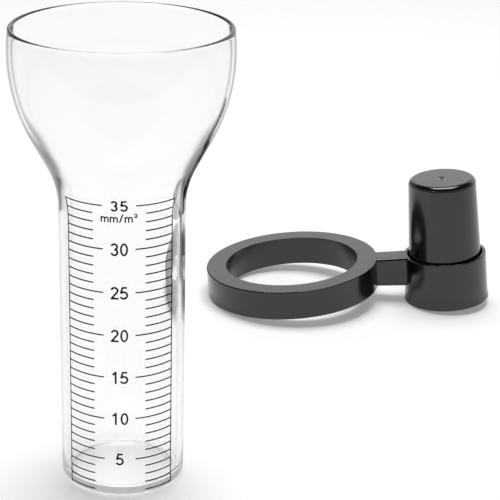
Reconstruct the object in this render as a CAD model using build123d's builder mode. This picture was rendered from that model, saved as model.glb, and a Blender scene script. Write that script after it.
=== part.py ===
from build123d import *
from build123d.topology import SkipClean
import math
import os

# Manual rain gauge, laid out as it is unpacked: the graduated glass vessel stands upright and
# its holder lies on the same surface behind it. Millimetres, +Z up. The origin is the centre of
# the vessel's flat base, and the scale faces -Y.

os.makedirs("parts", exist_ok=True)

# ---- Glass vessel: a tube with a flat base, blown out into a wide bowl at the top ----
tube_radius = 24.0
tube_wall = 2.48
bowl_radius = 42.0
bowl_wall = 1.6
shoulder_arc = 68.0     # outside radius of the curve from the cone to the rim
shoulder_height = 169.6 # where that curve stands upright
rim_turn = 7.5          # degrees that it carries on, leaning inwards, up to the rim
cone_lean = 28.5        # degrees between the cone and the axis
neck_arc = 36.0         # outside radius of the curve from the tube to the cone
neck_arc_inside = 38.0
heel_radius = 2.5       # outside corner at the base
floor_thickness = 2.0
floor_corner = 3.5      # inside corner at the base

bore_radius = tube_radius - tube_wall
mouth_radius = (
    bowl_radius - shoulder_arc + (shoulder_arc - bowl_wall) * math.cos(math.radians(rim_turn))
)

# ---- Scale: fired on in black, one line for each millimetre of rain ----
rain_pitch = (mouth_radius / bore_radius) ** 2  # height in the tube of one millimetre of rain
highest_reading = 35
labelled_every = 5
lowest_line = 2.2       # height of line 1, just above the heel
line_width = 0.5
ink_thickness = 0.08
ink_foot_turn = 40.0    # degrees down round the heel that the ink may reach
ink_top_turn = 21.0     # degrees up round the neck that the ink may reach
edge_angle = 52.8       # degrees from the front to the long upright line at each side
short_line_angle = 23.6 # degrees from the front to the inner end of a short line
long_line_angle = 14.3
line_reach = (15.0, 30.0)  # radii between which a line is cut out of the ink skin

digit_width = 2.25      # measured between the centres of the strokes
digit_height = 4.3
digit_pen = 0.7
digit_gap = 1.3
top_digit_scale = 0.87  # the 35 is a little less tall, to leave room for the unit under it
unit_pen = 0.52
unit_height = 1.75      # of the letter m
unit_width = 2.5
unit_gap = 0.85
unit_lines_below = 1.6  # the unit's middle, in scale lines below the 35

# ---- Holder: ring, arm and collar in one moulding, and a separate cap for the pole ----
ring_outer_radius = 42.25
ring_bore_radius = 32.5
ring_height = 14.0
collar_distance = 75.5  # from the ring's axis to the collar's axis
collar_bore_radius = 18.5
collar_wall = 1.5
collar_foot_radius = 20.75
collar_flare_height = 3.4
collar_drop = 9.5       # how far the collar reaches below the ring's underside
arm_width = 11.8
arm_deepening = 1.7     # extra depth of the arm where it meets the collar
arm_corner = 1.45
moulding_edge = 0.45
bore_edge = 0.3

cap_height = 62.0
cap_top_radius = 16.2
cap_taper = 2.0         # degrees on each side
cap_top_corner = 2.6
cap_top_thickness = 2.5
socket_seat_radius = 14.0
socket_seat_length = 15.0
socket_mouth_radius = 16.1
gate_dimple_radius = 2.2
gate_dimple_depth = 0.3
gate_stub_radius = 0.55
gate_stub_height = 0.45

# ---- Where the holder lies ----
ring_place = (76.3, 186.0)
holder_yaw = -3.0       # degrees from +X to the line from the ring to the collar


def side_points(tube, neck, shoulder, bowl):
    """Arc centres and cone ends of the vessel's side, from the tube up to the shoulder."""
    lean = math.radians(cone_lean)
    cone_top = (
        bowl - shoulder * (1 - math.cos(lean)),
        shoulder_height - shoulder * math.sin(lean),
    )
    foot_radius = tube + neck * (1 - math.cos(lean))
    cone_foot = (foot_radius, cone_top[1] - (cone_top[0] - foot_radius) / math.tan(lean))
    neck_centre = (tube + neck, cone_foot[1] - neck * math.sin(lean))
    return neck_centre, cone_foot, cone_top


neck_centre, cone_foot, cone_top = side_points(tube_radius, neck_arc, shoulder_arc, bowl_radius)
inner_neck_centre, inner_cone_foot, inner_cone_top = side_points(
    bore_radius, neck_arc_inside, shoulder_arc - bowl_wall, bowl_radius - bowl_wall
)
shoulder_centre = (bowl_radius - shoulder_arc, shoulder_height)
heel_centre = (tube_radius - heel_radius, heel_radius)


def on_circle(centre, radius, angle):
    turn = math.radians(angle)
    return (centre[0] + radius * math.cos(turn), centre[1] + radius * math.sin(turn))


# ---- The glass ----
with BuildPart() as gauge_glass:
    with BuildSketch(Plane.XZ) as half_section:
        with BuildLine():
            Line((0, 0), (heel_centre[0], 0))
            CenterArc(heel_centre, heel_radius, -90, 90)
            Line((tube_radius, heel_radius), (tube_radius, neck_centre[1]))
            CenterArc(neck_centre, neck_arc, 180, -cone_lean)
            Line(cone_foot, cone_top)
            CenterArc(shoulder_centre, shoulder_arc, -cone_lean, cone_lean + rim_turn)
            lip_centre = on_circle(shoulder_centre, shoulder_arc - bowl_wall / 2, rim_turn)
            CenterArc(lip_centre, bowl_wall / 2, rim_turn, 180)
            CenterArc(
                shoulder_centre, shoulder_arc - bowl_wall, rim_turn, -cone_lean - rim_turn
            )
            Line(inner_cone_top, inner_cone_foot)
            CenterArc(inner_neck_centre, neck_arc_inside, 180 - cone_lean, cone_lean)
            floor_corner_centre = (bore_radius - floor_corner, floor_thickness + floor_corner)
            Line((bore_radius, inner_neck_centre[1]), (bore_radius, floor_corner_centre[1]))
            CenterArc(floor_corner_centre, floor_corner, 0, -90)
            Line((floor_corner_centre[0], floor_thickness), (0, floor_thickness))
            Line((0, floor_thickness), (0, 0))
        make_face()
    revolve(axis=Axis.Z)

gauge_glass.part.label = "gauge_glass"
export_step(gauge_glass.part, "parts/gauge_glass.step")


# ---- The scale ----
def line_height(reading):
    return lowest_line + (reading - 1) * rain_pitch


def front_point(radius, angle):
    """A point in plan, with its angle counted from the front (-Y) towards +X."""
    turn = math.radians(angle)
    return (radius * math.sin(turn), -radius * math.cos(turn))


with BuildSketch(Plane.XZ) as ink_section:
    with BuildLine():
        CenterArc(heel_centre, heel_radius, -ink_foot_turn, ink_foot_turn)
        Line((tube_radius, heel_radius), (tube_radius, neck_centre[1]))
        CenterArc(neck_centre, neck_arc, 180, -ink_top_turn)
        Line(
            on_circle(neck_centre, neck_arc, 180 - ink_top_turn),
            on_circle(neck_centre, neck_arc - ink_thickness, 180 - ink_top_turn),
        )
        CenterArc(neck_centre, neck_arc - ink_thickness, 180 - ink_top_turn, ink_top_turn)
        ink_radius = tube_radius + ink_thickness
        Line((ink_radius, neck_centre[1]), (ink_radius, heel_radius))
        CenterArc(heel_centre, heel_radius + ink_thickness, 0, -ink_foot_turn)
        Line(
            on_circle(heel_centre, heel_radius + ink_thickness, -ink_foot_turn),
            on_circle(heel_centre, heel_radius, -ink_foot_turn),
        )
    make_face()


def ink_patch(inner_angle, outer_angle, bottom, top):
    """The part of the ink skin between two heights and two directions, on both sides."""
    with BuildPart() as patch:
        with BuildSketch(Plane.XY.offset(bottom)):
            for side in (-1, 1):
                Polygon(
                    front_point(line_reach[0], side * inner_angle),
                    front_point(line_reach[0], side * outer_angle),
                    front_point(line_reach[1], side * outer_angle),
                    front_point(line_reach[1], side * inner_angle),
                    align=None,
                )
        extrude(amount=top - bottom)
        revolve(ink_section.sketch, axis=Axis.Z, mode=Mode.INTERSECT)
    return patch.part


# The upright lines and the scale lines are joined edge to edge, each with faces of its own.
half_line = math.degrees(line_width / 2 / tube_radius)
upright = (edge_angle - half_line, edge_angle + half_line)
patches = []
patch_foot = 0.0
for reading in range(1, highest_reading + 1):
    line_foot = line_height(reading) - line_width / 2
    line_top = line_foot + line_width
    inner_angle = short_line_angle if reading % labelled_every else long_line_angle
    patches.append(ink_patch(*upright, patch_foot, line_foot))
    patches.append(ink_patch(*upright, line_foot, line_top))
    patches.append(ink_patch(inner_angle, upright[0], line_foot, line_top))
    patch_foot = line_top

with BuildPart() as scale_lines:
    with SkipClean():
        add(patches, clean=False)

scale_lines.part.label = "scale_lines"
export_step(scale_lines.part, "parts/scale_lines.step")


# ---- Numerals, drawn with a pen of even width ----
def zero(width, height, pen):
    with BuildSketch() as sketch:
        with Locations((width / 2, height / 2)):
            Ellipse((width + pen) / 2, (height + pen) / 2)
            Ellipse((width - pen) / 2, (height - pen) / 2, mode=Mode.SUBTRACT)
    return sketch.sketch


def one(width, height, pen):
    stem = 0.62 * width
    with BuildSketch() as sketch:
        with BuildLine():
            Line((stem, -pen / 2), (stem, height + pen / 2))
        trace(line_width=pen)
        with BuildLine():
            Line((stem, height), (0.1 * width, 0.76 * height))
        trace(line_width=pen)
    return sketch.sketch


def two(width, height, pen):
    bowl = width / 2
    with BuildSketch() as sketch:
        with BuildLine():
            top = CenterArc((bowl, height - bowl), bowl, 170, -205)
            Line(top @ 1, (0, 0))
        trace(line_width=pen)
        with BuildLine():
            Line((-pen / 2, 0), (width + pen / 2, 0))
        trace(line_width=pen)
    return sketch.sketch


def three(width, height, pen):
    upper = 0.24 * height
    lower = height / 2 - upper
    with BuildSketch() as sketch:
        with BuildLine():
            CenterArc((width / 2, height - upper), upper, 165, -255)
        trace(line_width=pen)
        with BuildLine():
            CenterArc((width / 2, lower), lower, 90, -255)
        trace(line_width=pen)
    return sketch.sketch


def five(width, height, pen):
    bowl = 0.3 * height
    centre = (width - bowl, bowl)
    with BuildSketch() as sketch:
        with BuildLine():
            Polyline(
                (0.95 * width, height), (0.22 * width, height), on_circle(centre, bowl, 145)
            )
        trace(line_width=pen)
        with BuildLine():
            CenterArc(centre, bowl, 145, -300)
        trace(line_width=pen)
    return sketch.sketch


def letter_m(width, height, pen):
    arch = width / 4
    with BuildSketch() as sketch:
        with BuildLine():
            Line((0, -pen / 2), (0, height + pen / 2))
        trace(line_width=pen)
        for start in (0, width / 2):
            with BuildLine():
                crown = CenterArc((start + arch, height - arch), arch, 180, -180)
                Line(crown @ 1, (start + 2 * arch, -pen / 2))
            trace(line_width=pen)
    return sketch.sketch


def slash(width, height, pen):
    with BuildSketch() as sketch:
        with BuildLine():
            Line((0, -pen / 2), (width, height))
        trace(line_width=pen)
    return sketch.sketch


digits = {"0": zero, "1": one, "2": two, "3": three, "5": five}
superscript_width, superscript_height = 0.9, 1.3
slash_width, slash_height = 1.2, 3.0
unit_line = [
    (letter_m(unit_width, unit_height, unit_pen), unit_width, 0),
    (letter_m(unit_width, unit_height, unit_pen), unit_width, 0),
    (slash(slash_width, slash_height, unit_pen), slash_width, 0),
    (letter_m(unit_width, unit_height, unit_pen), unit_width, 0),
    (
        two(superscript_width, superscript_height, 0.75 * unit_pen),
        superscript_width,
        slash_height - superscript_height,
    ),
]
unit_length = sum(width for _, width, _ in unit_line) + unit_gap * (len(unit_line) - 1)

with BuildPart() as scale_numerals:
    with BuildSketch(Plane.XZ.offset(line_reach[1])):
        for reading in range(labelled_every, highest_reading + 1, labelled_every):
            height = digit_height * (top_digit_scale if reading == highest_reading else 1.0)
            text = str(reading)
            step = digit_width + digit_gap
            left = -((len(text) - 1) * step + digit_width) / 2
            foot = line_height(reading) - height / 2
            for place, digit in enumerate(text):
                with Locations((left + place * step, foot)):
                    add(digits[digit](digit_width, height, digit_pen))
        left = -unit_length / 2
        foot = line_height(highest_reading - unit_lines_below) - unit_height / 2
        for glyph, width, raised in unit_line:
            with Locations((left, foot + raised)):
                add(glyph)
            left += width + unit_gap
    extrude(amount=line_reach[0] - line_reach[1])
    revolve(ink_section.sketch, axis=Axis.Z, mode=Mode.INTERSECT)

scale_numerals.part.label = "scale_numerals"
export_step(scale_numerals.part, "parts/scale_numerals.step")


# ---- The holder's own frame ----
# The collar reaches below the ring, so the holder lies tipped: it rests on the ring's far edge
# and on the collar's near edge, and the collar and the cap lean towards the ring.
tip_span = collar_distance - collar_foot_radius + ring_outer_radius
tip = math.atan(collar_drop / tip_span)
yaw = math.radians(holder_yaw)
lift = (ring_outer_radius - moulding_edge) * math.sin(tip) + moulding_edge * (1 - math.cos(tip))
holder = Plane(
    origin=(*ring_place, lift),
    x_dir=(math.cos(yaw) * math.cos(tip), math.sin(yaw) * math.cos(tip), math.sin(tip)),
    z_dir=(-math.cos(yaw) * math.sin(tip), -math.sin(yaw) * math.sin(tip), math.cos(tip)),
)
collar_foot = holder.from_local_coords((collar_distance, 0, 0))
collar_axis = Axis(collar_foot, holder.z_dir)
collar_section = Plane(origin=collar_foot, x_dir=holder.x_dir, z_dir=-holder.y_dir)

# ---- Bracket: ring, arm and collar ----
collar_top_radius = collar_bore_radius + collar_wall
arm_start = (ring_outer_radius + ring_bore_radius) / 2

with BuildPart() as holder_bracket:
    with BuildSketch(holder):
        Circle(ring_outer_radius)
    extrude(amount=ring_height)
    fillet(holder_bracket.edges().filter_by(GeomType.CIRCLE), radius=moulding_edge)

    for distance, depth in ((arm_start, 0), (collar_distance, arm_deepening)):
        end = holder.from_local_coords((distance, 0, (ring_height - depth) / 2))
        with BuildSketch(Plane(origin=end, x_dir=holder.y_dir, z_dir=holder.x_dir)):
            RectangleRounded(arm_width, ring_height + depth, arm_corner)
    loft()

    with BuildSketch(collar_section) as collar_outline:
        with BuildLine():
            Polyline(
                (0, -collar_drop),
                (collar_foot_radius, -collar_drop),
                (
                    collar_top_radius + (collar_foot_radius - collar_top_radius) / 3,
                    collar_flare_height - collar_drop,
                ),
                (collar_top_radius, ring_height),
                (0, ring_height),
                close=True,
            )
        make_face()
        fillet(collar_outline.vertices().group_by(Axis.X)[-1], radius=moulding_edge)
        top_corner = collar_outline.vertices().group_by(Axis.Y)[-1].sort_by(Axis.X)[-1]
        fillet(top_corner, radius=moulding_edge)
    revolve(axis=collar_axis)

    with BuildSketch(holder):
        Circle(ring_bore_radius)
    extrude(amount=ring_height, mode=Mode.SUBTRACT)
    bore_rims = holder_bracket.edges(Select.LAST).filter_by(GeomType.CIRCLE)
    fillet(bore_rims, radius=bore_edge)
    with BuildSketch(Plane(origin=collar_foot, x_dir=holder.x_dir, z_dir=holder.z_dir)):
        Circle(collar_bore_radius)
    extrude(amount=2 * ring_height, both=True, mode=Mode.SUBTRACT)

holder_bracket.part.label = "holder_bracket"
export_step(holder_bracket.part, "parts/holder_bracket.step")

# ---- Pole cap ----
cap_foot_radius = cap_top_radius + cap_height * math.tan(math.radians(cap_taper))
cap_foot = -collar_drop - (collar_foot_radius - cap_foot_radius) * math.tan(tip)
cap_top = cap_foot + cap_height
socket_end = cap_top - cap_top_thickness
socket_seat_start = socket_end - socket_seat_length

with BuildPart() as pole_cap:
    with BuildSketch(collar_section) as cap_outline:
        with BuildLine():
            Polyline(
                (0, cap_foot), (cap_foot_radius, cap_foot), (cap_top_radius, cap_top),
                (0, cap_top), close=True,
            )
        make_face()
        fillet(cap_outline.vertices().sort_by(Axis.X)[-1], radius=moulding_edge)
        top_corner = cap_outline.vertices().group_by(Axis.Y)[-1].sort_by(Axis.X)[-1]
        fillet(top_corner, radius=cap_top_corner)
        with BuildLine():
            Polyline(
                (0, cap_foot), (socket_mouth_radius, cap_foot),
                (socket_seat_radius, socket_seat_start), (socket_seat_radius, socket_end),
                (0, socket_end), close=True,
            )
        make_face(mode=Mode.SUBTRACT)
        with BuildLine():
            Polyline(
                (gate_stub_radius, cap_top), (gate_dimple_radius, cap_top),
                (gate_stub_radius, cap_top - gate_dimple_depth), close=True,
            )
        make_face(mode=Mode.SUBTRACT)
        with BuildLine():
            Polyline(
                (0, cap_top - gate_dimple_depth), (gate_stub_radius, cap_top - gate_dimple_depth),
                (gate_stub_radius, cap_top - gate_dimple_depth + gate_stub_height),
                (0, cap_top - gate_dimple_depth + gate_stub_height), close=True,
            )
        make_face()
    revolve(axis=collar_axis)

pole_cap.part.label = "pole_cap"
export_step(pole_cap.part, "parts/pole_cap.step")

# ---- Figures that the record states ----
print("mouth radius", round(mouth_radius, 3), "bore radius", round(bore_radius, 3))
print("rain pitch", round(rain_pitch, 4), "top line", round(line_height(highest_reading), 2))
print("tip, degrees", round(math.degrees(tip), 3))
print("holder axis", [round(c, 6) for c in holder.z_dir])
print("ring bore middle", [round(c, 4) for c in holder.from_local_coords((0, 0, ring_height / 2))])
seat_middle = (collar_distance, 0, (socket_seat_start + socket_end) / 2)
print("socket seat middle", [round(c, 4) for c in holder.from_local_coords(seat_middle)])
print("socket mouth", [round(c, 4) for c in holder.from_local_coords((collar_distance, 0, cap_foot))])
for piece in (gauge_glass, scale_lines, scale_numerals, holder_bracket, pole_cap):
    box = piece.part.bounding_box()
    print(piece.part.label, len(piece.part.solids()), round(piece.part.volume, 2), box.min, box.max)
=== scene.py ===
import math

import bpy
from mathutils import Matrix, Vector


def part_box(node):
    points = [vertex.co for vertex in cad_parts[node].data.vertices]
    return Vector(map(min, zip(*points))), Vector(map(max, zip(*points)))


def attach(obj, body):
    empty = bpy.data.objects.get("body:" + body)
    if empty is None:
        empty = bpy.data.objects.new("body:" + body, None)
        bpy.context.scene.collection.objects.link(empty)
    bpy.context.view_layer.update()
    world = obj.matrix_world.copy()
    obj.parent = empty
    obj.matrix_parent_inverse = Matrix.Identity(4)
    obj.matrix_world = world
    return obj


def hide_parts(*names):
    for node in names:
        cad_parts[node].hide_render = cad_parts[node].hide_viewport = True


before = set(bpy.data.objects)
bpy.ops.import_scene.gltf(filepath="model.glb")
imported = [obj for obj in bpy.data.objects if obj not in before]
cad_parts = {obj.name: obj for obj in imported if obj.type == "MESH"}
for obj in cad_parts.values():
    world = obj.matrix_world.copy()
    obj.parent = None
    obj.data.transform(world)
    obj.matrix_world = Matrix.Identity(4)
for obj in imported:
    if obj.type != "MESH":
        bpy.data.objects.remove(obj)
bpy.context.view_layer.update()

# ---- Camera: a telephoto, looking down on the row from in front ----
CAMERA_PLACE = (0.0295, -0.6124, 0.3232)
CAMERA_PITCH = 20.61        # degrees below level
CAMERA_ROLL = 0.79          # degrees about the viewing axis
LENS = 124.06
SENSOR = 36.0
CAMERA_SHIFT = 0.1

# ---- Glass vessel: shape, in metres and degrees ----
TUBE_RADIUS = 0.024
TUBE_WALL = 0.00248
BOWL_RADIUS = -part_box("gauge_glass")[0][1]
BOWL_WALL = 0.0016
SHOULDER_ARC = 0.068
SHOULDER_HEIGHT = 0.1696    # where the bowl is widest
RIM_TURN = 7.5              # how far the shoulder's arc goes on above that
CONE_LEAN = 28.5            # from upright
NECK_ARC = 0.036
NECK_ARC_INSIDE = 0.038
HEEL_RADIUS = 0.0025
FLOOR_THICKNESS = 0.002
FLOOR_CORNER = 0.0035

TURN_SEGMENTS = 256
BASE_STEPS = 8
ROUND_STEPS = 10            # heel, lip and inside corner
WALL_STEPS = 24
NECK_STEPS = 20
CONE_STEPS = 3
SHOULDER_STEPS = 30

# ---- Glass vessel: look ----
GLASS_IOR = 1.473
WAVE_SCALE = 45
WAVE_STRETCH = (1, 1, 0.35)
WAVE_DEPTH = 0.00002        # of the blown wall
POLISH_ROUGHNESS = 0.012    # at its dullest spots
GROUND_ROUGHNESS = 0.45     # of the ground underside
GROUND_FADE = (0.0001, 0.0006)
ABSORPTION_COLOUR = (0.0, 0.08, 0.12, 1)
ABSORPTION_DENSITY = 15.0

# How side on the glass is seen, from 0 to 1: a painted shade darkens its colour and gloss from clear
# to dark between start and full. At the neck, which comes in and goes out over two spans of height,
# it does so sooner.
FACE_UNSHADED = (1, 1, 1, 1)
EDGE_PAINTED_SHADE = (0.02, 0.026, 0.032, 1)
EDGE_START = 0.74
EDGE_FULL = 0.86
NECK_EDGE_START = 0.52
NECK_EDGE_FULL = 0.74
NECK_FADE_IN = (0.116, 0.124)
NECK_FADE_OUT = (0.134, 0.148)
TUBE_EDGE = 0.4             # strength of the painted edge shade on the straight tube

SHADOW_FADE = (0.35, 0.95)  # the same measure, for the light that shines through
SHADOW_OF_FACE = (0.95, 0.95, 0.95, 1)
SHADOW_OF_EDGE = (0.2, 0.2, 0.2, 1)

# ---- Black plastic and black enamel ----
PLASTIC_COLOUR = (0.0025, 0.0025, 0.0027, 1)
PLASTIC_IOR = 1.6
PLASTIC_ROUGHNESS = (0.12, 0.2)
CLOUD_SCALE = 60
CLOUD_DEPTH = 0.00012
GRAIN_SCALE = 900
GRAIN_DEPTH = 0.000004
INK_COLOUR = (0.0015, 0.0015, 0.0015, 1)
INK_GLOSS = 0.03
INK_ROUGHNESS = (0.45, 0.65)
SPECKLE_SCALE = 2500

# ---- Studio ----
FLOOR_HALF = 4.0
FLOOR_GAP = 0.0001          # below the object's base
FLOOR_COLOUR = (0.82, 0.82, 0.82, 1)
FLOOR_ROUGHNESS = 0.8
FLOOR_GLOSS = 0.1
FLOOR_GLOW = 0.23

SOFTBOX_PLACE = (0.1, 0.35, 1.8)
SOFTBOX_AIM = (0.05, 0.09, 0)
SOFTBOX_SIZE = (1.2, 1.0)
SOFTBOX_POWER = 30.0

CARD_COLOUR = (0.3, 0.3, 0.3, 1)
CARD_HALF_WIDTH = 1.5
CARD_NEAR = -2.5
CARD_FAR = -0.32
CARD_HEIGHT = 0.0005

# The room's fades are over the X, Y or Z of a direction, 1 being straight along that axis.
ROOM_LEVEL = 0.05
WALL_LEVEL = 1.1
WALL_BEHIND = (0.25, 0.7)
WALL_TOP = (0.45, 0.8)
WALL_LEFT = (-0.42, -0.02)
WALL_LEFT_PART = 0.3        # how much of its light the wall has at its left end
SKIRTING_LEVEL = 0.45       # low down, all the way round
SKIRTING_TOP = (0.3, 0.5)
GLASS_SEES = 0.7
CAMERA_SEES = 1.0


def add_camera():
    data = bpy.data.cameras.new("camera")
    data.lens = LENS
    data.sensor_width = SENSOR
    data.shift_x = CAMERA_SHIFT
    camera = bpy.data.objects.new("camera", data)
    camera.location = CAMERA_PLACE
    camera.rotation_mode = "ZYX"
    camera.rotation_euler = (math.radians(90 - CAMERA_PITCH), 0, math.radians(CAMERA_ROLL))
    bpy.context.scene.collection.objects.link(camera)
    bpy.context.scene.camera = camera


# ---- Material nodes ----
def new_material(name):
    material = bpy.data.materials.new(name)
    material.use_nodes = True
    nodes, links = material.node_tree.nodes, material.node_tree.links
    shader = next(node for node in nodes if node.type == "BSDF_PRINCIPLED")
    return material, shader, nodes, links


def noise_node(nodes, links, scale, detail, stretch=(1, 1, 1)):
    place = nodes.new("ShaderNodeTexCoord")
    mapping = nodes.new("ShaderNodeMapping")
    mapping.inputs["Scale"].default_value = stretch
    texture = nodes.new("ShaderNodeTexNoise")
    texture.inputs["Scale"].default_value = scale
    texture.inputs["Detail"].default_value = detail
    links.new(place.outputs["Object"], mapping.inputs["Vector"])
    links.new(mapping.outputs["Vector"], texture.inputs["Vector"])
    return texture.outputs["Fac"]


def axes_of(nodes, links, coordinates):
    """The X, Y and Z sockets of a texture coordinate."""
    place = nodes.new("ShaderNodeTexCoord")
    split = nodes.new("ShaderNodeSeparateXYZ")
    links.new(place.outputs[coordinates], split.inputs["Vector"])
    return split.outputs


def ramp_between(nodes, links, source, low, high):
    remap = nodes.new("ShaderNodeMapRange")
    remap.inputs["To Min"].default_value = low
    remap.inputs["To Max"].default_value = high
    links.new(source, remap.inputs["Value"])
    return remap.outputs["Result"]


def eased(nodes, links, source, span, low=0.0, high=1.0):
    """A smooth step from low to high while source goes over the span of two values."""
    remap = nodes.new("ShaderNodeMapRange")
    remap.interpolation_type = "SMOOTHSTEP"
    remap.inputs["From Min"].default_value = span[0]
    remap.inputs["From Max"].default_value = span[1]
    remap.inputs["To Min"].default_value = low
    remap.inputs["To Max"].default_value = high
    links.new(source, remap.inputs["Value"])
    return remap.outputs["Result"]


def combined(nodes, links, operation, first, second):
    maths = nodes.new("ShaderNodeMath")
    maths.operation = operation
    links.new(first, maths.inputs[0])
    links.new(second, maths.inputs[1])
    return maths.outputs[0]


def colour_between(nodes, links, factor, first, second):
    mix = nodes.new("ShaderNodeMix")
    mix.data_type = "RGBA"
    links.new(factor, mix.inputs["Factor"])
    mix.inputs[6].default_value = first
    mix.inputs[7].default_value = second
    return mix.outputs[2]


def add_bump(nodes, links, shader, heights):
    """Chains bump nodes: each entry of heights is (height socket, distance in metres)."""
    normal = None
    for height, distance in heights:
        bump = nodes.new("ShaderNodeBump")
        bump.inputs["Strength"].default_value = 1.0
        bump.inputs["Distance"].default_value = distance
        links.new(height, bump.inputs["Height"])
        if normal is not None:
            links.new(normal, bump.inputs["Normal"])
        normal = bump.outputs["Normal"]
    links.new(normal, shader.inputs["Normal"])


# ---- Materials ----
def edge_strength(nodes, links, height, facing):
    """How much painted shade darkens the edge of the glass: 0 seen face on, 1 seen side on."""
    above_tube = eased(nodes, links, height, NECK_FADE_IN)
    below_bowl = eased(nodes, links, height, NECK_FADE_OUT, 1.0, 0.0)
    neck = combined(nodes, links, "MULTIPLY", above_tube, below_bowl)
    start = ramp_between(nodes, links, neck, EDGE_START, NECK_EDGE_START)
    full = ramp_between(nodes, links, neck, EDGE_FULL, NECK_EDGE_FULL)
    edge = eased(nodes, links, facing, (0.0, 1.0))
    links.new(start, edge.node.inputs["From Min"])
    links.new(full, edge.node.inputs["From Max"])
    weaker_on_tube = ramp_between(nodes, links, above_tube, TUBE_EDGE, 1.0)
    return combined(nodes, links, "MULTIPLY", edge, weaker_on_tube)


def glass_material():
    """Clear glass: a faint waviness, a painted shade on its edge where it is seen side on, a light
    shadow.
    """
    material, shader, nodes, links = new_material("clear_glass")
    shader.inputs["IOR"].default_value = GLASS_IOR
    shader.inputs["Transmission Weight"].default_value = 1.0
    wave = noise_node(nodes, links, WAVE_SCALE, detail=1, stretch=WAVE_STRETCH)
    add_bump(nodes, links, shader, [(wave, WAVE_DEPTH)])

    height = axes_of(nodes, links, "Object")["Z"]
    polish = ramp_between(nodes, links, wave, 0.0, POLISH_ROUGHNESS)
    ground = eased(nodes, links, height, GROUND_FADE, GROUND_ROUGHNESS, 0.0)
    rough = combined(nodes, links, "MAXIMUM", polish, ground)
    links.new(rough, shader.inputs["Roughness"])

    slant = nodes.new("ShaderNodeLayerWeight")
    slant.inputs["Blend"].default_value = 0.5
    facing = slant.outputs["Facing"]
    edge = edge_strength(nodes, links, height, facing)
    # Painted shade: the glass's colour and gloss darken where it is seen side on.
    edge_shade_colour = colour_between(nodes, links, edge, FACE_UNSHADED, EDGE_PAINTED_SHADE)
    links.new(edge_shade_colour, shader.inputs["Base Color"])
    links.new(edge_shade_colour, shader.inputs["Specular Tint"])

    body = nodes.new("ShaderNodeVolumeAbsorption")
    body.inputs["Color"].default_value = ABSORPTION_COLOUR
    body.inputs["Density"].default_value = ABSORPTION_DENSITY

    clear = nodes.new("ShaderNodeBsdfTransparent")
    shade = eased(nodes, links, facing, SHADOW_FADE)
    passed = colour_between(nodes, links, shade, SHADOW_OF_FACE, SHADOW_OF_EDGE)
    links.new(passed, clear.inputs["Color"])
    path = nodes.new("ShaderNodeLightPath")
    blend = nodes.new("ShaderNodeMixShader")
    links.new(path.outputs["Is Shadow Ray"], blend.inputs["Fac"])
    links.new(shader.outputs["BSDF"], blend.inputs[1])
    links.new(clear.outputs["BSDF"], blend.inputs[2])

    output = next(node for node in nodes if node.type == "OUTPUT_MATERIAL")
    links.new(blend.outputs["Shader"], output.inputs["Surface"])
    links.new(body.outputs["Volume"], output.inputs["Volume"])
    return material


def plastic_material():
    """Glossy black plastic, its faces slightly wavy from the mould."""
    material, shader, nodes, links = new_material("black_plastic")
    shader.inputs["Base Color"].default_value = PLASTIC_COLOUR
    shader.inputs["IOR"].default_value = PLASTIC_IOR
    cloud = noise_node(nodes, links, CLOUD_SCALE, detail=3)
    rough = ramp_between(nodes, links, cloud, *PLASTIC_ROUGHNESS)
    links.new(rough, shader.inputs["Roughness"])
    grain = noise_node(nodes, links, GRAIN_SCALE, detail=2)
    add_bump(nodes, links, shader, [(cloud, CLOUD_DEPTH), (grain, GRAIN_DEPTH)])
    return material


def ink_material():
    """Black enamel, fired on and nearly matt."""
    material, shader, nodes, links = new_material("scale_ink")
    shader.inputs["Base Color"].default_value = INK_COLOUR
    shader.inputs["Specular IOR Level"].default_value = INK_GLOSS
    speckle = noise_node(nodes, links, SPECKLE_SCALE, detail=2)
    rough = ramp_between(nodes, links, speckle, *INK_ROUGHNESS)
    links.new(rough, shader.inputs["Roughness"])
    return material


# ---- The glass vessel, turned about its axis ----
def arc_points(centre, radius, start, turn, count):
    points = []
    for i in range(count + 1):
        angle = math.radians(start + turn * i / count)
        points.append((centre[0] + radius * math.cos(angle), centre[1] + radius * math.sin(angle)))
    return points


def line_points(start, end, count):
    """Points strictly between start and end."""
    return [
        (start[0] + (end[0] - start[0]) * i / count, start[1] + (end[1] - start[1]) * i / count)
        for i in range(1, count)
    ]


def side_points(tube, neck, shoulder, bowl):
    """The neck arc's centre, and the two ends of the straight cone above that arc."""
    lean = math.radians(CONE_LEAN)
    cone_top = (bowl - shoulder * (1 - math.cos(lean)), SHOULDER_HEIGHT - shoulder * math.sin(lean))
    foot_radius = tube + neck * (1 - math.cos(lean))
    cone_foot = (foot_radius, cone_top[1] - (cone_top[0] - foot_radius) / math.tan(lean))
    return (tube + neck, cone_foot[1] - neck * math.sin(lean)), cone_foot, cone_top


def outside_points():
    """From the middle of the underside up to the rim."""
    neck, cone_foot, cone_top = side_points(TUBE_RADIUS, NECK_ARC, SHOULDER_ARC, BOWL_RADIUS)
    heel = (TUBE_RADIUS - HEEL_RADIUS, HEEL_RADIUS)
    shoulder = (BOWL_RADIUS - SHOULDER_ARC, SHOULDER_HEIGHT)
    return [
        (0, 0),
        *line_points((0, 0), (heel[0], 0), BASE_STEPS),
        *arc_points(heel, HEEL_RADIUS, -90, 90, ROUND_STEPS),
        *line_points((TUBE_RADIUS, HEEL_RADIUS), (TUBE_RADIUS, neck[1]), WALL_STEPS),
        *arc_points(neck, NECK_ARC, 180, -CONE_LEAN, NECK_STEPS),
        *line_points(cone_foot, cone_top, CONE_STEPS),
        *arc_points(shoulder, SHOULDER_ARC, -CONE_LEAN, CONE_LEAN + RIM_TURN, SHOULDER_STEPS),
    ]


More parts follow.
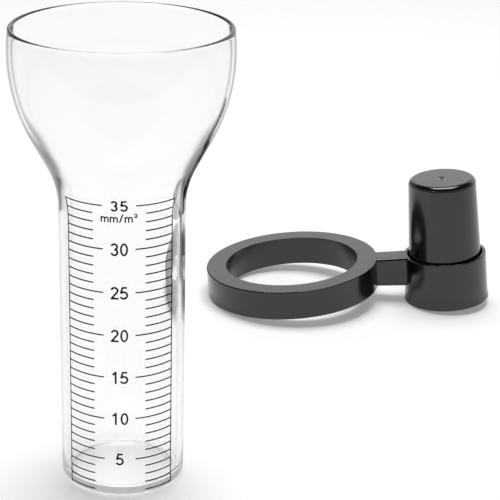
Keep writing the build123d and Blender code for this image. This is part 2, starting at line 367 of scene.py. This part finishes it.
def lip_points():
    """The rounded rim, across the thickness of the wall."""
    turn = math.radians(RIM_TURN)
    middle = SHOULDER_ARC - BOWL_WALL / 2
    lip = (
        BOWL_RADIUS - SHOULDER_ARC + middle * math.cos(turn),
        SHOULDER_HEIGHT + middle * math.sin(turn),
    )
    return arc_points(lip, BOWL_WALL / 2, RIM_TURN, 180, ROUND_STEPS)[1:-1]


def inside_points():
    """From the rim down to the middle of the glass floor."""
    bore = TUBE_RADIUS - TUBE_WALL
    shoulder_arc = SHOULDER_ARC - BOWL_WALL
    neck, cone_foot, cone_top = side_points(
        bore, NECK_ARC_INSIDE, shoulder_arc, BOWL_RADIUS - BOWL_WALL
    )
    shoulder = (BOWL_RADIUS - SHOULDER_ARC, SHOULDER_HEIGHT)
    corner = (bore - FLOOR_CORNER, FLOOR_THICKNESS + FLOOR_CORNER)
    return [
        *arc_points(shoulder, shoulder_arc, RIM_TURN, -CONE_LEAN - RIM_TURN, SHOULDER_STEPS),
        *line_points(cone_top, cone_foot, CONE_STEPS),
        *arc_points(neck, NECK_ARC_INSIDE, 180 - CONE_LEAN, CONE_LEAN, NECK_STEPS),
        *line_points((bore, neck[1]), (bore, corner[1]), WALL_STEPS),
        *arc_points(corner, FLOOR_CORNER, 0, -90, ROUND_STEPS),
        *line_points((corner[0], FLOOR_THICKNESS), (0, FLOOR_THICKNESS), BASE_STEPS),
        (0, FLOOR_THICKNESS),
    ]


def turned(name, profile, segments):
    """A closed solid of revolution about Z. The profile starts and ends on the axis."""
    vertices, faces, rings = [], [], []
    for radius, height in profile:
        if radius == 0:
            rings.append([len(vertices)])
            vertices.append((0, 0, height))
            continue
        rings.append(range(len(vertices), len(vertices) + segments))
        for i in range(segments):
            angle = 2 * math.pi * i / segments
            vertices.append((radius * math.cos(angle), radius * math.sin(angle), height))
    for lower, upper in zip(rings, rings[1:]):
        for i in range(segments):
            j = (i + 1) % segments
            if len(lower) == 1:
                faces.append((lower[0], upper[j], upper[i]))
            elif len(upper) == 1:
                faces.append((lower[i], lower[j], upper[0]))
            else:
                faces.append((lower[i], lower[j], upper[j], upper[i]))
    mesh = bpy.data.meshes.new(name)
    mesh.from_pydata(vertices, [], faces)
    mesh.polygons.foreach_set("use_smooth", [True] * len(mesh.polygons))
    mesh.update()
    piece = bpy.data.objects.new(name, mesh)
    bpy.context.scene.collection.objects.link(piece)
    return piece


def add_glass(material):
    profile = outside_points() + lip_points() + inside_points()
    glass = turned("glass_vessel", profile, TURN_SEGMENTS)
    glass.data.materials.append(material)
    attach(glass, "gauge")
    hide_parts("gauge_glass")


def finish_node(name, material):
    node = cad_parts[name]
    node.data.materials.clear()
    node.data.materials.append(material)


# ---- Floor, light and surroundings ----
def sheet(name, left, right, near, far, height, material):
    """A level rectangle."""
    corners = [(left, near, height), (right, near, height), (right, far, height), (left, far, height)]
    mesh = bpy.data.meshes.new(name)
    mesh.from_pydata(corners, [], [(0, 1, 2, 3)])
    mesh.materials.append(material)
    piece = bpy.data.objects.new(name, mesh)
    bpy.context.scene.collection.objects.link(piece)
    return piece


def add_floor():
    material, shader, _, _ = new_material("white_table")
    shader.inputs["Base Color"].default_value = FLOOR_COLOUR
    shader.inputs["Roughness"].default_value = FLOOR_ROUGHNESS
    shader.inputs["Specular IOR Level"].default_value = FLOOR_GLOSS
    shader.inputs["Emission Color"].default_value = (1, 1, 1, 1)
    shader.inputs["Emission Strength"].default_value = FLOOR_GLOW
    sheet("floor", -FLOOR_HALF, FLOOR_HALF, -FLOOR_HALF, FLOOR_HALF, -FLOOR_GAP, material)


def add_front_card():
    """A grey card on the floor in front of the object, which only its gloss sees."""
    material, shader, _, _ = new_material("flag_front")
    shader.inputs["Base Color"].default_value = (0, 0, 0, 1)
    shader.inputs["Specular IOR Level"].default_value = 0.0
    shader.inputs["Emission Color"].default_value = CARD_COLOUR
    shader.inputs["Emission Strength"].default_value = 1.0
    card = sheet(
        "flag_front", -CARD_HALF_WIDTH, CARD_HALF_WIDTH, CARD_NEAR, CARD_FAR, CARD_HEIGHT, material
    )
    card.visible_camera = False
    card.visible_diffuse = False
    card.visible_shadow = False
    card.visible_transmission = False


def add_softbox():
    light = bpy.data.lights.new("softbox", "AREA")
    light.shape = "RECTANGLE"
    light.size, light.size_y = SOFTBOX_SIZE
    light.energy = SOFTBOX_POWER
    lamp = bpy.data.objects.new("softbox", light)
    lamp.location = SOFTBOX_PLACE
    aim = Vector(SOFTBOX_AIM) - lamp.location
    lamp.rotation_mode = "QUATERNION"
    lamp.rotation_quaternion = aim.to_track_quat("-Z", "Y")
    bpy.context.scene.collection.objects.link(lamp)


def level_where(nodes, links, ray, otherwise, level):
    """One level for the rays of one kind, and the otherwise socket for all others."""
    mix = nodes.new("ShaderNodeMix")
    links.new(ray, mix.inputs["Factor"])
    links.new(otherwise, mix.inputs["A"])
    mix.inputs["B"].default_value = level
    return mix.outputs["Result"]


def add_world():
    """A dim room with a bright wall behind the object. The camera and the glass see it plain."""
    world = bpy.data.worlds.new("studio")
    bpy.context.scene.world = world
    world.use_nodes = True
    nodes, links = world.node_tree.nodes, world.node_tree.links
    direction = axes_of(nodes, links, "Generated")
    behind = eased(nodes, links, direction["Y"], WALL_BEHIND)
    low = eased(nodes, links, direction["Z"], WALL_TOP, 1.0, 0.0)
    side = eased(nodes, links, direction["X"], WALL_LEFT, WALL_LEFT_PART, 1.0)
    back = combined(nodes, links, "MULTIPLY", behind, low)
    wall = combined(nodes, links, "MULTIPLY", back, side)
    wall_level = eased(nodes, links, wall, (0.0, 1.0), ROOM_LEVEL, WALL_LEVEL)
    skirting = eased(nodes, links, direction["Z"], SKIRTING_TOP, SKIRTING_LEVEL, ROOM_LEVEL)
    level = combined(nodes, links, "MAXIMUM", wall_level, skirting)
    path = nodes.new("ShaderNodeLightPath")
    level = level_where(nodes, links, path.outputs["Is Transmission Ray"], level, GLASS_SEES)
    level = level_where(nodes, links, path.outputs["Is Camera Ray"], level, CAMERA_SEES)
    background = nodes["Background"]
    background.inputs["Color"].default_value = (1, 1, 1, 1)
    links.new(level, background.inputs["Strength"])


add_camera()
bpy.context.scene.view_settings.view_transform = "Standard"
add_glass(glass_material())
black = plastic_material()
finish_node("holder_bracket", black)
finish_node("pole_cap", black)
ink = ink_material()
finish_node("scale_lines", ink)
finish_node("scale_numerals", ink)
add_floor()
add_softbox()
add_world()
add_front_card()
